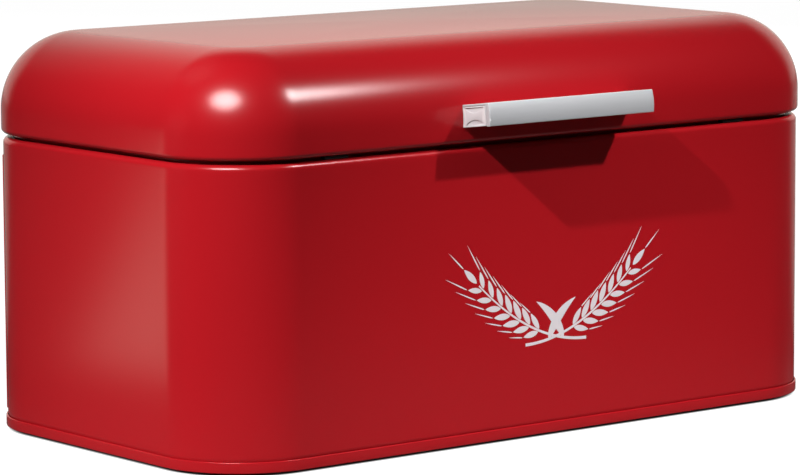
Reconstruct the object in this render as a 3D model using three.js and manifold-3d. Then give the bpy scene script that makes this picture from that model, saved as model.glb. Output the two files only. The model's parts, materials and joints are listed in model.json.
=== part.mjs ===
// Retro bread box of painted sheet steel, in millimetres, +Z up, front towards -Y.
// A round-cornered body stands on a seamed base, and a domed lid closes over the body's neck. The lid
// swings up on two hinges at the back and is lifted by a bar handle on its front.
// Every height below is measured from the lower edge of the base rim, which the feet lift a little.
import * as THREE from "three";
import { mergeVertices } from "three/addons/utils/BufferGeometryUtils.js";
import Module from "manifold-3d";

// Body and lid as a whole
const boxWidth = 340;
const boxDepth = 185;
const bodyHeight = 125.5; // base rim to shoulder
const cornerRadius = 40; // seen from above
const sheet = 0.6; // steel sheet of the pressed parts
const lidGap = 1.6; // open joint between shoulder and hem
const lidOverhang = 0.75; // the lid stands out past the body by this
const lidSkirt = 9.9; // upright part of the lid's side, with its hem
const domeRadius = 33.5; // rounding from the lid's side to its top
const crown = 0.6; // rise of the lid's top towards its middle

// Clearances
const seat = 0.15; // between pieces that are clamped, crimped or laid together
const play = 0.2; // round a rivet, screw or tenon in its hole
const overrun = 2; // of a cutter past what it cuts

// Body shell
const shoulderRadius = 2.5;
const shoulderLedge = 1.1; // flat between the shoulder's rounding and the neck
const neckHeight = 5;
const neckFold = 3; // depth of the folded safety edge on the neck
const lockSeamWidth = 6;
const lockSeamProud = 0.55;
const lockSeamTopDrop = 8; // below the shoulder
const lockSeamFootRise = 2; // above the base band
const lockSeamTurn = 40; // degrees round the rear left corner, from the left side

// Vent holes in the back wall
const ventRadius = 2;
const ventPitch = 10;
const ventGroupSpacing = 110; // between the middles of the two groups
const ventDrop = 28; // below the shoulder
const ventsPerGroup = 5;

// Base pan
const bandHeight = 4.6; // the crimped seam that shows round the foot of the body
const bandEdge = 0.4; // rounding of the band's lower edges
const panelRecess = 4.4; // underside of the pan above the rim
const panelStep = 1; // the middle of the pan is raised by this
const panelStepInset = 12;
const panelStepRun = 2;

// Feet
const footRadius = 7;
const footEdge = 0.8;
const footDrop = 1.2; // the feet reach this far below the rim
const footInset = 34; // from the body's sides to a foot's middle

// Soft buffers clipped over the neck
const bufferLength = 12;
const bufferWall = 0.8;
const bufferGap = 0.3; // under the closed lid's hem
const bufferInset = 20; // from the start of a corner's rounding to a buffer's middle

// Lid shell
const hemRadius = 2.2;

// Hinges
const hingeInset = 35; // from the start of a corner's rounding to a hinge's middle
const leafLength = 32;
const leafThickness = 0.8;
const bodyLeafHeight = 11;
const knuckleRadius = 2.4;
const pinRadius = 1.2;
const pinPlay = 0.1;
const pinHeadRadius = 2.1;
const pinHeadHeight = 0.9;
const knuckleGap = 0.3; // between neighbouring knuckles, and from a knuckle to the other leaf
const outerKnuckleLength = 10;
const stopReach = 3.9; // of the stop, from the pin's axis
const stopThickness = 1.1;
const lidOpening = 100; // degrees from closed to the stop
const rivetSpacing = 20;
const rivetRadius = 1.3;
const rivetHeadRadius = 2.2;
const rivetHeadHeight = 1;

// Handle
const handleLength = 91;
const handleReach = 17.6; // from the lid's skirt to the bar's front
const handleRise = 11.5; // middle of the handle's root above the lid's hem
const handleTilt = 7; // degrees that the handle points up, about square to the lid's rounding
const barHeight = 9.7;
const barThickness = 2.6;
const barEdge = 1; // thickness left at the bar's long edges
const barFlange = 0.8; // the bar's top runs back to the lid, this thick
const postWidth = 14;
const postLip = 0.3; // the bar stands past the post by this, below
const postEdge = 0.6; // rounding of the post's front edges
const hollowSpan = 12.5; // arc-shaped hollows in a post's end faces
const hollowRise = 2.2;
const hollowDepth = 0.9;
const hollowRim = 0.4;
const tenonWidth = 8;
const tenonHeight = 5;
const tenonDepth = 1;
const screwRadius = 1.8;
const screwLength = 13;
const screwHeadRadius = 3.5;
const screwHeadHeight = 2.3;
const crossSpan = 4;
const crossWidth = 0.9;
const crossDepth = 1.3;
const washerRadius = 4.8;
const washerThickness = 0.8;

// How finely round stretches are divided
const cornerSteps = 10;
const domeSteps = 9;
const rollSteps = 4;
const roundSides = 16;
const smallSides = 12;

// Levels and places that follow
const lidFoot = bodyHeight + lidGap;
const domeStart = lidFoot + lidSkirt;
const neckInset = shoulderRadius + shoulderLedge;
const neckTop = bodyHeight + neckHeight;
const halfWidth = boxWidth / 2;
const halfDepth = boxDepth / 2;
const lidHalfWidth = halfWidth + lidOverhang;
const lidHalfDepth = halfDepth + lidOverhang;
const bandProud = seat + sheet;
const bufferSpacing = boxWidth - 2 * (cornerRadius + bufferInset);
const hingeSpacing = boxWidth - 2 * (cornerRadius + hingeInset);
const hingeY = halfDepth + seat + knuckleRadius;
const hingeZ = bodyHeight + lidGap / 2;
const leafOffset = knuckleRadius + knuckleGap; // from the pin's axis to the plain part of a leaf
const lidLeafHeight = domeStart - hingeZ - leafOffset;
const handleZ = lidFoot + handleRise;
const barBack = barThickness - handleReach; // from the lid's skirt, along the handle
const postX = handleLength / 2 - postWidth / 2;

// Finishes
const redPaint = new THREE.MeshStandardMaterial({ color: 0xb01a22, roughness: 0.38, metalness: 0 });
const satinAluminium = new THREE.MeshStandardMaterial({ color: 0xc4ccd0, roughness: 0.35, metalness: 0.9 });
const greyPlastic = new THREE.MeshStandardMaterial({ color: 0xcfc4c5, roughness: 0.5, metalness: 0 });
const zincSteel = new THREE.MeshStandardMaterial({ color: 0xb9bcc0, roughness: 0.4, metalness: 1 });
const blackRubber = new THREE.MeshStandardMaterial({ color: 0x1b1b1c, roughness: 0.85, metalness: 0 });

const wasm = await Module();
wasm.setup();

// A closed geometry as a solid that can be joined and cut
function toSolid(geometry) {
  const bare = new THREE.BufferGeometry();
  bare.setAttribute("position", geometry.getAttribute("position"));
  bare.setIndex(geometry.index);
  const merged = mergeVertices(bare);
  const vertProperties = new Float32Array(merged.attributes.position.array);
  const triVerts = new Uint32Array(merged.index.array);
  return new wasm.Manifold(new wasm.Mesh({ numProp: 3, vertProperties, triVerts }));
}

// A solid back as a geometry with flat faces
function toGeometry(solid) {
  const { numProp, vertProperties, triVerts } = solid.getMesh();
  const positions = new THREE.InterleavedBuffer(vertProperties, numProp);
  const geometry = new THREE.BufferGeometry();
  geometry.setAttribute("position", new THREE.InterleavedBufferAttribute(positions, 3, 0));
  geometry.setIndex(new THREE.BufferAttribute(triVerts, 1));
  const faceted = geometry.toNonIndexed();
  faceted.computeVertexNormals();
  return faceted;
}

// One solid with others joined to it and others cut out of it
function shaped(base, { joined = [], cut = [] }) {
  const whole = joined.reduce((sum, piece) => sum.add(toSolid(piece)), toSolid(base));
  return toGeometry(cut.reduce((rest, cutter) => rest.subtract(toSolid(cutter)), whole));
}

function piece(name, geometry, material, x = 0, y = 0, z = 0) {
  const mesh = new THREE.Mesh(geometry, material);
  mesh.name = name;
  mesh.position.set(x, y, z);
  return mesh;
}

// Points of a round stretch in a profile, between two angles in degrees about a centre
function arc(across, up, radius, from, to, steps) {
  return Array.from({ length: steps + 1 }, (_, step) => {
    const angle = THREE.MathUtils.degToRad(from + ((to - from) * step) / steps);
    return [across + radius * Math.cos(angle), up + radius * Math.sin(angle)];
  });
}

// The box's outline at one height: a rectangle with round corners, anticlockwise from above
function outline(halfX, halfY, radius, z) {
  const round = Math.max(radius, sheet);
  const corners = [[1, 1], [-1, 1], [-1, -1], [1, -1]];
  return corners.flatMap(([sideX, sideY], quarter) => {
    const middleX = sideX * (halfX - round);
    const middleY = sideY * (halfY - round);
    const turn = arc(middleX, middleY, round, 90 * quarter, 90 * (quarter + 1), cornerSteps);
    return turn.map(([x, y]) => [x, y, z]);
  });
}

// A profile of insets and heights, carried round the outline and closed on itself. A row whose
// inset is null is one point at the middle of the box.
function carriedRound(profile, halfX, halfY, radius) {
  const rows = profile.map(([inset, z]) =>
    inset === null ? [[0, 0, z]] : outline(halfX - inset, halfY - inset, radius - inset, z));
  const starts = rows.map((_, row) => rows.slice(0, row).reduce((sum, each) => sum + each.length, 0));
  const faces = [];
  rows.forEach((row, at) => {
    const after = (at + 1) % rows.length;
    const count = Math.max(row.length, rows[after].length);
    const here = (step) => starts[at] + (step % row.length);
    const next = (step) => starts[after] + (step % rows[after].length);
    for (let step = 0; step < count; step++) {
      if (row.length > 1) faces.push(here(step), here(step + 1), next(step + 1));
      if (rows[after].length > 1) faces.push(here(step), next(step + 1), next(step));
    }
  });
  const geometry = new THREE.BufferGeometry();
  geometry.setAttribute("position", new THREE.Float32BufferAttribute(rows.flat(2), 3));
  geometry.setIndex(faces);
  return geometry;
}

// A section drawn in Y and Z and drawn out along X, centred on x = 0
function alongX(section, length) {
  const shape = section.isShape ? section : new THREE.Shape(section.map(([y, z]) => new THREE.Vector2(y, z)));
  const geometry = new THREE.ExtrudeGeometry(shape, {
    depth: length,
    bevelEnabled: false,
    curveSegments: smallSides,
  });
  const turn = new THREE.Matrix4().makeBasis(
    new THREE.Vector3(0, 1, 0),
    new THREE.Vector3(0, 0, 1),
    new THREE.Vector3(1, 0, 0),
  );
  return geometry.applyMatrix4(turn).translate(-length / 2, 0, 0);
}

// A round piece about the Y axis, from a profile of radii and places along Y
function turned(profile, sides) {
  return new THREE.LatheGeometry(profile.map(([r, y]) => new THREE.Vector2(r, y)), sides);
}

function block(sizeX, sizeY, sizeZ, x, y, z) {
  return new THREE.BoxGeometry(sizeX, sizeY, sizeZ).translate(x, y, z);
}

// A round cutter along Y through the wall at the given place
function hole(radius, x, y, z) {
  const length = 2 * (sheet + overrun);
  return new THREE.CylinderGeometry(radius, radius, length, smallSides).translate(x, y, z);
}

// How far the lid's outer face has rounded inwards at a height
function domeInset(z) {
  const rise = THREE.MathUtils.clamp(z - domeStart, 0, domeRadius);
  return domeRadius - Math.sqrt(domeRadius ** 2 - rise ** 2);
}

const sides = [["left", -1], ["right", 1]];
const bodyRivetZ = hingeZ - leafOffset - bodyLeafHeight / 2;
const lidRivetZ = hingeZ + leafOffset + lidLeafHeight / 2;
const rivetXs = sides.flatMap(([, side]) =>
  [-1, 1].map((end) => (side * hingeSpacing) / 2 + (end * rivetSpacing) / 2));

function ventHoles() {
  const middle = (ventsPerGroup - 1) / 2;
  return sides.flatMap(([, side]) => Array.from({ length: ventsPerGroup }, (_, at) => {
    const x = (side * ventGroupSpacing) / 2 + (at - middle) * ventPitch;
    return hole(ventRadius, x, halfDepth, bodyHeight - ventDrop);
  }));
}

// The grooved seam that closes the wrap, raised a little from the rear left corner
function lockSeam() {
  const low = bandHeight + lockSeamFootRise;
  const high = bodyHeight - lockSeamTopDrop;
  const halfTurn = THREE.MathUtils.radToDeg(lockSeamWidth / 2 / cornerRadius);
  const from = 180 - lockSeamTurn - halfTurn;
  const to = 180 - lockSeamTurn + halfTurn;
  const outer = arc(0, 0, cornerRadius + lockSeamProud, from, to, rollSteps);
  const inner = arc(0, 0, cornerRadius - sheet / 2, to, from, rollSteps);
  const shape = new THREE.Shape([...outer, ...inner].map(([x, y]) => new THREE.Vector2(x, y)));
  return new THREE.ExtrudeGeometry(shape, { depth: high - low, bevelEnabled: false })
    .translate(cornerRadius - halfWidth, halfDepth - cornerRadius, low);
}

function bodyShell() {
  const foot = sheet + seat;
  const roundStart = bodyHeight - shoulderRadius;
  const wrap = carriedRound([
    [0, foot],
    ...arc(shoulderRadius, roundStart, shoulderRadius, 180, 90, rollSteps),
    [neckInset, bodyHeight],
    [neckInset, neckTop],
    [neckInset + 2 * sheet, neckTop],
    [neckInset + 2 * sheet, neckTop - neckFold],
    [neckInset + sheet, neckTop - neckFold],
    [neckInset + sheet, bodyHeight - sheet],
    ...arc(shoulderRadius, roundStart, shoulderRadius - sheet, 90, 180, rollSteps),
    [sheet, foot],
  ], halfWidth, halfDepth, cornerRadius);
  const rivetHoles = rivetXs.map((x) => hole(rivetRadius + play, x, halfDepth, bodyRivetZ));
  return shaped(wrap, { joined: [lockSeam()], cut: [...ventHoles(), ...rivetHoles] });
}

function basePan() {
  const wall = 2 * sheet + seat; // inner face of the upstand behind the body's wall
  const under = panelRecess;
  const over = panelRecess + sheet;
  return carriedRound([
    [null, under + panelStep],
    [panelStepInset + panelStepRun, under + panelStep],
    [panelStepInset, under],
    [wall + seat, under],
    [wall + seat, bandEdge],
    [wall + seat - bandEdge, 0],
    [bandEdge - bandProud, 0],
    [-bandProud, bandEdge],
    [-bandProud, bandHeight],
    [-seat, bandHeight],
    [-seat, sheet],
    [sheet + seat, sheet],
    [sheet + seat, over],
    [panelStepInset, over],
    [panelStepInset + panelStepRun, over + panelStep],
    [null, over + panelStep],
  ], halfWidth, halfDepth, cornerRadius);
}

function foot() {
  const height = footDrop + panelRecess + panelStep - seat;
  return turned([
    [0, 0],
    [footRadius - footEdge, 0],
    [footRadius, footEdge],
    [footRadius, height],
    [0, height],
  ], roundSides).rotateX(Math.PI / 2);
}

// A clip with one leg each side of the neck, and a lip that the lid's hem comes down on
function lidBuffer() {
  const front = (inset) => inset - halfDepth;
  const outerLeg = neckInset - seat;
  const innerLeg = neckInset + 2 * sheet + seat;
  const lip = hemRadius - lidOverhang;
  const low = bodyHeight + seat;
  const inside = neckTop + seat;
  return alongX([
    [front(lip), low],
    [front(outerLeg), low],
    [front(outerLeg), inside],
    [front(innerLeg), inside],
    [front(innerLeg), neckTop - neckFold],
    [front(innerLeg + bufferWall), neckTop - neckFold],
    [front(innerLeg + bufferWall), inside + bufferWall],
    [front(outerLeg - bufferWall), inside + bufferWall],
    [front(outerLeg - bufferWall), lidFoot - bufferGap],
    [front(lip), lidFoot - bufferGap],
  ], bufferLength);
}

function lidShell() {
  const top = domeStart + domeRadius;
  const hemTip = hemRadius + sheet;
  const dome = carriedRound([
    [hemTip, lidFoot],
    ...arc(hemRadius, lidFoot + hemRadius, hemRadius, 270, 180, rollSteps),
    ...arc(domeRadius, domeStart, domeRadius, 180, 90, domeSteps),
    [null, top + crown],
    [null, top + crown - sheet],
    ...arc(domeRadius, domeStart, domeRadius - sheet, 90, 180, domeSteps),
    ...arc(hemRadius, lidFoot + hemRadius, hemRadius - sheet, 180, 270, rollSteps),
    [hemTip, lidFoot + sheet],
  ], lidHalfWidth, lidHalfDepth, cornerRadius + lidOverhang);
  const screwHoles = sides.map(([, side]) => hole(screwRadius + play, side * postX, -lidHalfDepth, handleZ));
  const rivetHoles = rivetXs.map((x) => hole(rivetRadius + play, x, lidHalfDepth, lidRivetZ));
  return shaped(dome, { cut: [...screwHoles, ...rivetHoles] });
}

// Hinge pieces are made about the pin's axis
function knuckle(length) {
  return new THREE.CylinderGeometry(knuckleRadius, knuckleRadius, length, roundSides).rotateZ(Math.PI / 2);
}

function pinBore() {
  const bore = pinRadius + pinPlay;
  return new THREE.CylinderGeometry(bore, bore, leafLength + 2 * overrun, roundSides).rotateZ(Math.PI / 2);
}

function leafRivetHoles(z) {
  return [-1, 1].map((end) => hole(rivetRadius + play, (end * rivetSpacing) / 2, -knuckleRadius, z - hingeZ));
}

function bodyLeaf() {
  const plateY = leafThickness / 2 - knuckleRadius;
  const plate = block(leafLength, leafThickness, bodyLeafHeight, 0, plateY, -leafOffset - bodyLeafHeight / 2);
  const outer = [-1, 1].flatMap((end) => {
    const x = (end * (leafLength - outerKnuckleLength)) / 2;
    const strapHeight = leafOffset + sheet;
    return [
      knuckle(outerKnuckleLength).translate(x, 0, 0),
      block(outerKnuckleLength, leafThickness, strapHeight, x, plateY, -strapHeight / 2),
    ];
  });
  return shaped(plate, { joined: outer, cut: [pinBore(), ...leafRivetHoles(bodyRivetZ)] });
}

function lidLeaf() {
  const middleLength = leafLength - 2 * (outerKnuckleLength + knuckleGap);
  const plateY = lidHalfDepth + seat + leafThickness / 2 - hingeY;
  const plate = block(leafLength, leafThickness, lidLeafHeight, 0, plateY, leafOffset + lidLeafHeight / 2);
  const strapHeight = leafOffset + sheet;
  const strap = block(middleLength, leafThickness, strapHeight, 0, plateY, strapHeight / 2);
  // The stop is placed as it stands with the lid open, against the body leaf, and turned back
  const stopY = leafThickness - knuckleRadius + seat + stopThickness / 2;
  const stop = block(middleLength, stopThickness, stopReach, 0, stopY, -stopReach / 2)
    .rotateX(THREE.MathUtils.degToRad(lidOpening));
  return shaped(plate, {
    joined: [knuckle(middleLength), strap, stop],
    cut: [pinBore(), ...leafRivetHoles(lidRivetZ)],
  });
}

function hingePin() {
  const half = leafLength / 2 + seat;
  return turned([
    [0, -half - pinHeadHeight],
    [pinHeadRadius, -half - pinHeadHeight],
    [pinHeadRadius, -half],
    [pinRadius, -half],
    [pinRadius, half],
    [pinHeadRadius, half],
    [pinHeadRadius, half + pinHeadHeight],
    [0, half + pinHeadHeight],
  ], smallSides).rotateZ(-Math.PI / 2);
}

// A rivet through the wall and the leaf, made about the wall's inner face
function rivet() {
  const grip = sheet + seat + leafThickness + seat;
  return turned([
    [0, -seat - rivetHeadHeight / 2],
    [rivetHeadRadius, -seat - rivetHeadHeight / 2],
    [rivetHeadRadius, -seat],
    [rivetRadius, -seat],
    [rivetRadius, grip],
    [rivetHeadRadius, grip],
    [rivetRadius, grip + rivetHeadHeight],
    [0, grip + rivetHeadHeight],
  ], smallSides);
}

// The handle's pieces are drawn square to a flat wall, from the middle of the root, and then tilted up
function tiltUp(geometry) {
  return geometry.rotateX(-THREE.MathUtils.degToRad(handleTilt));
}

// What the lid's front face takes from a piece that stands on it
function lidFace() {
  const face = Array.from({ length: 2 * rollSteps + 1 }, (_, step) => {
    const z = barHeight * (step / rollSteps - 1);
    return [domeInset(handleZ + z) - seat, z];
  });
  return alongX([...face, [domeRadius, barHeight], [domeRadius, -barHeight]], 2 * handleLength);
}

// An aluminium angle: a bulging front, and a top that runs back to the lid
function handleBar() {
  const high = barHeight / 2;
  const bulge = barThickness - barEdge;
  const bulgeRadius = (high ** 2 + bulge ** 2) / (2 * bulge);
  const half = THREE.MathUtils.radToDeg(Math.asin(high / bulgeRadius));
  const front = arc(bulgeRadius - handleReach, 0, bulgeRadius, 180 - half, 180 + half, 2 * rollSteps);
  const angle = alongX([
    ...front,
    [barBack, -high],
    [barBack, high - barFlange],
    [overrun, high - barFlange],
    [overrun, high],
  ], handleLength);
  const pockets = sides.map(([, side]) => tiltUp(block(
    tenonWidth + 2 * play,
    2 * (tenonDepth + seat),
    tenonHeight + 2 * play,
    side * postX,
    barBack,
    0,
  )));
  return shaped(tiltUp(angle), { cut: [lidFace(), ...pockets] });
}

// Section of a post in Y and Z, from inside the lid to the back of the bar and up to its top
function postSection() {
  const front = barBack + seat;
  const low = postLip - barHeight / 2;
  const high = barHeight / 2 - barFlange - seat;
  return [
    [overrun, low],
    [overrun, high],
    ...arc(front + postEdge, high - postEdge, postEdge, 90, 180, 2),
    ...arc(front + postEdge, low + postEdge, postEdge, 180, 270, 2),
  ];
}

// The arc-shaped hollows in a post's end face, above and below, open to the outside
function postHollows(side) {
  const radius = ((hollowSpan / 2) ** 2 + hollowRise ** 2) / (2 * hollowRise);
  const half = THREE.MathUtils.radToDeg(Math.asin(hollowSpan / 2 / radius));
  const low = postLip - barHeight / 2 + hollowRim;
  const high = barHeight / 2 - barFlange - seat - hollowRim;
  const x = (side * postWidth) / 2;
  return [[high, 1], [low, -1]].map(([chord, end]) => {
    const centre = chord + end * (radius - hollowRise);
    const facing = end > 0 ? 270 : 90;
    const hollow = arc(barBack / 2, centre, radius, facing - half, facing + half, 2 * rollSteps);
    return tiltUp(alongX(hollow, 2 * hollowDepth).translate(x, 0, 0));
  });
}

function handlePost(side) {
  const tenon = tiltUp(block(tenonWidth, 2 * tenonDepth, tenonHeight, 0, barBack + seat, 0));
  const bore = screwRadius + play / 2;
  const screwBore = new THREE.CylinderGeometry(bore, bore, 2 * (screwLength - washerThickness), smallSides);
  return shaped(tiltUp(alongX(postSection(), postWidth)), {
    joined: [tenon],
    cut: [lidFace(), screwBore, ...postHollows(side)],
  });
}

// Where the washers lie inside the lid, clear of the wall's rounding at their upper edge
const washerY = domeInset(handleZ + washerRadius) + sheet + 2 * seat - lidHalfDepth;

function washer() {
  const bore = screwRadius + play;
  return turned([
    [bore, 0],
    [washerRadius, 0],
    [washerRadius, washerThickness],
    [bore, washerThickness],
    [bore, 0],
  ], roundSides);
}

function handleScrew() {
  const shank = turned([
    [0, -screwLength],
    [screwRadius, -screwLength],
    [screwRadius, 0],
    [screwHeadRadius, 0],
    [screwHeadRadius, screwHeadHeight / 2],
    [screwHeadRadius - screwHeadHeight / 2, screwHeadHeight],
    [0, screwHeadHeight],
  ], smallSides);
  const arms = [[crossSpan, crossWidth], [crossWidth, crossSpan]].map(([spanX, spanZ]) =>
    block(spanX, 2 * crossDepth, spanZ, 0, screwHeadHeight, 0));
  return shaped(shank, { cut: arms });
}

function bodyGroup() {
  const group = new THREE.Group();
  group.add(piece("body_shell", bodyShell(), redPaint));
  group.add(piece("base_pan", basePan(), redPaint));
  for (const [sideName, side] of sides) {
    for (const [endName, end] of [["front", -1], ["rear", 1]]) {
      const x = side * (halfWidth - footInset);
      const y = end * (halfDepth - footInset);
      group.add(piece(`foot_${endName}_${sideName}`, foot(), blackRubber, x, y, -footDrop));
    }
    const hingeX = (side * hingeSpacing) / 2;
    group.add(piece(`lid_buffer_${sideName}`, lidBuffer(), blackRubber, (side * bufferSpacing) / 2));
    group.add(piece(`hinge_leaf_body_${sideName}`, bodyLeaf(), zincSteel, hingeX, hingeY, hingeZ));
    group.add(piece(`hinge_pin_${sideName}`, hingePin(), zincSteel, hingeX, hingeY, hingeZ));
  }
  rivetXs.forEach((x, at) => {
    group.add(piece(`rivet_body_${at + 1}`, rivet(), zincSteel, x, halfDepth - sheet, bodyRivetZ));
  });
  return group;
}

function lidGroup() {
  const group = new THREE.Group();
  group.add(piece("lid_shell", lidShell(), redPaint));
  group.add(piece("handle_bar", handleBar(), satinAluminium, 0, -lidHalfDepth, handleZ));
  for (const [sideName, side] of sides) {
    const x = side * postX;
    const hingeX = (side * hingeSpacing) / 2;
    const screwY = washerY + washerThickness + seat;
    group.add(piece(`handle_post_${sideName}`, handlePost(side), greyPlastic, x, -lidHalfDepth, handleZ));
    group.add(piece(`handle_washer_${sideName}`, washer(), zincSteel, x, washerY, handleZ));
    group.add(piece(`handle_screw_${sideName}`, handleScrew(), zincSteel, x, screwY, handleZ));
    group.add(piece(`hinge_leaf_lid_${sideName}`, lidLeaf(), zincSteel, hingeX, hingeY, hingeZ));
  }
  rivetXs.forEach((x, at) => {
    group.add(piece(`rivet_lid_${at + 1}`, rivet(), zincSteel, x, lidHalfDepth - sheet, lidRivetZ));
  });
  return group;
}

const breadBox = new THREE.Group();
breadBox.add(bodyGroup(), lidGroup());

// The origin lies under the middle of the whole box, handle and hinges included, where the feet stand
const reach = new THREE.Box3().setFromObject(breadBox);
breadBox.position.set(0, -(reach.min.y + reach.max.y) / 2, footDrop);

export default breadBox;
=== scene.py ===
# Retro bread box: red powder-coated sheet steel, a domed lid on two rear hinges, a satin bar handle
import json
import math

import bmesh
import bpy
from mathutils import Matrix, Vector


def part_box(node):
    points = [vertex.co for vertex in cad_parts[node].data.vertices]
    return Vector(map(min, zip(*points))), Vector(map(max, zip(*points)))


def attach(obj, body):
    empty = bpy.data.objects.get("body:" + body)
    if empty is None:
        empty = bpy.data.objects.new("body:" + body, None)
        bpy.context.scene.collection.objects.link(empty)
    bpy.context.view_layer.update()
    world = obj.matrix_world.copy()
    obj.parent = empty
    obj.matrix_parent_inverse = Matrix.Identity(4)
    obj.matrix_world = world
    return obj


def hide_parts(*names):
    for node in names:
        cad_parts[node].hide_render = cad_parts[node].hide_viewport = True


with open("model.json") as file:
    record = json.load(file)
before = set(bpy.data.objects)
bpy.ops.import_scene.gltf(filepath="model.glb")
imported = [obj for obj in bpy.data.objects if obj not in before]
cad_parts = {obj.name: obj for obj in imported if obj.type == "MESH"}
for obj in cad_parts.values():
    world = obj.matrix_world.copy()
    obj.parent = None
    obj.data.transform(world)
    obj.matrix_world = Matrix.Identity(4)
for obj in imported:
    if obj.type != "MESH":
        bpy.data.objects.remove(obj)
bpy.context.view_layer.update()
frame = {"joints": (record.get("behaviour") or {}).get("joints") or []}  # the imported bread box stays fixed, everything here is fitted to it
mm = 0.001

wallLow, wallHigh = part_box("body_shell")
lidLow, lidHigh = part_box("lid_shell")
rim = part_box("base_pan")[0].z  # heights in the dictionaries are above this edge
middle = Vector(((wallLow.x + wallHigh.x) / 2, (wallLow.y + wallHigh.y) / 2, 0))


# Meshes

meshing = {
    "creaseAngle": 35,  # degrees, faces that meet at more than this are shaded as an edge
    "bevelAngle": 30,  # and edges that turn by more than this are rounded
}


def spread(start, stop, count):
    return [start + (stop - start) * step / (count - 1) for step in range(count)]


def arc(across, up, radius, start, stop, steps):
    angles = [math.radians(angle) for angle in spread(start, stop, steps + 1)]
    return [(across + radius * math.cos(a), up + radius * math.sin(a)) for a in angles]


def domeProfile(radius, height, base, short, count):
    # A quarter of an ellipse over its base, ended this many radians short of the axis
    turns = spread(0, math.pi / 2 - short, count)
    return [(radius * math.cos(turn), base + height * math.sin(turn)) for turn in turns]


def ease(value):
    value = min(max(value, 0), 1)
    return value * value * (3 - 2 * value)


def addObject(name, data):
    added = bpy.data.objects.new(name, data)
    bpy.context.scene.collection.objects.link(added)
    return added


def shadeSmooth(piece):
    piece.data.shade_smooth()
    piece.data.set_sharp_from_angle(angle=math.radians(meshing["creaseAngle"]))


def meshPiece(name, points, faces):
    mesh = bpy.data.meshes.new(name)
    mesh.from_pydata([tuple(point) for point in points], [], faces)
    bm = bmesh.new()
    bm.from_mesh(mesh)
    bmesh.ops.recalc_face_normals(bm, faces=bm.faces)
    bm.to_mesh(mesh)
    bm.free()
    piece = addObject(name, mesh)
    shadeSmooth(piece)
    return piece


def applyModifiers(piece):
    depsgraph = bpy.context.evaluated_depsgraph_get()
    baked = bpy.data.meshes.new_from_object(piece.evaluated_get(depsgraph))
    piece.modifiers.clear()
    piece.data = baked
    shadeSmooth(piece)


def softenEdges(piece, width, segments=2):
    bevel = piece.modifiers.new("bevel", "BEVEL")
    bevel.width = width
    bevel.segments = segments
    bevel.limit_method = "ANGLE"
    bevel.angle_limit = math.radians(meshing["bevelAngle"])
    applyModifiers(piece)


def cutAway(piece, cutters):
    for cutter in cutters:
        boolean = piece.modifiers.new("cut", "BOOLEAN")
        boolean.operation = "DIFFERENCE"
        boolean.solver = "EXACT"
        boolean.object = cutter
    applyModifiers(piece)
    for cutter in cutters:
        bpy.data.objects.remove(cutter)


def ringCuts(piece, width, corners):
    # A narrow strip round each cut keeps its rounding from shading the whole wall. A face with
    # more than the given corners is taken as one with cuts in it.
    bm = bmesh.new()
    bm.from_mesh(piece.data)
    cut = [face for face in bm.faces if len(face.verts) > corners]
    bmesh.ops.inset_region(bm, faces=cut, thickness=width, use_even_offset=True, use_boundary=True)
    bm.to_mesh(piece.data)
    bm.free()
    shadeSmooth(piece)


def takeIn(piece, other):
    # The other piece's mesh becomes part of this piece's
    bm = bmesh.new()
    bm.from_mesh(piece.data)
    bm.from_mesh(other.data)
    bm.to_mesh(piece.data)
    bm.free()
    bpy.data.objects.remove(other)


def loft(name, rings, closedProfile=False):
    # Rings of equal length joined row by row, either round on themselves or capped at both ends
    count, rows = len(rings[0]), len(rings)
    faces = []
    for row in range(rows if closedProfile else rows - 1):
        here, after = row * count, (row + 1) % rows * count
        for column in range(count):
            beside = (column + 1) % count
            faces.append((here + column, here + beside, after + beside, after + column))
    if not closedProfile:
        faces.append(tuple(range(count)))
        faces.append(tuple(range((rows - 1) * count, rows * count)))
    return meshPiece(name, [point for ring in rings for point in ring], faces)


def turned(name, profile, along, place, sides=48, hollow=False):
    # A round piece from radii and places along its axis, capped at its ends or closed round a bore
    turn = Vector((0, 0, 1)).rotation_difference(Vector(along)).to_matrix()
    rings = []
    for radius, reach in profile:
        ring = []
        for side in range(sides):
            angle = 2 * math.pi * side / sides
            point = Vector((radius * math.cos(angle), radius * math.sin(angle), reach))
            ring.append(turn @ point + place)
        rings.append(ring)
    return loft(name, rings, hollow)


def drawnOut(name, section, length, place, support=0):
    # A section in Y and Z drawn out along X, centred on its place. Loops this far from its ends,
    # if any, keep the wear of their edges off its length.
    loops = [support - length / 2, length / 2 - support] if support else []
    stops = [-length / 2, *loops, length / 2]
    return loft(name, [[place + Vector((x, y, z)) for y, z in section] for x in stops])


# Finishes

grainNoise = {
    "Grain Scale": {"Detail": 3, "Roughness": 0.55},
    "Drift Scale": {"Detail": 2, "Roughness": 0.5},
}
# Where the painted edge highlight comes in
highlightEdgeTurn = {"From Min": 0.52, "From Max": 0.62}  # pointiness, of which a flat face has 0.5


def newGroup(name, inputs, outputs):
    group = bpy.data.node_groups.new(name, "ShaderNodeTree")
    for label, kind, value in inputs:
        socket = group.interface.new_socket(label, in_out="INPUT", socket_type=kind)
        socket.default_value = value
    for label, kind in outputs:
        group.interface.new_socket(label, in_out="OUTPUT", socket_type=kind)
    return group, group.nodes.new("NodeGroupInput").outputs, group.nodes.new("NodeGroupOutput").inputs


def addNode(tree, kind, settings=None, inputs=None):
    # An input is either set to a value or linked to another node's output
    node = tree.nodes.new(kind)
    for key, value in (settings or {}).items():
        setattr(node, key, value)
    for key, value in (inputs or {}).items():
        if isinstance(value, bpy.types.NodeSocket):
            tree.links.new(value, node.inputs[key])
        else:
            node.inputs[key].default_value = value
    return node


def mathNode(tree, operation, first, second=0, clamp=False):
    settings = {"operation": operation, "use_clamp": clamp}
    return addNode(tree, "ShaderNodeMath", settings, {0: first, 1: second}).outputs[0]


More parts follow.
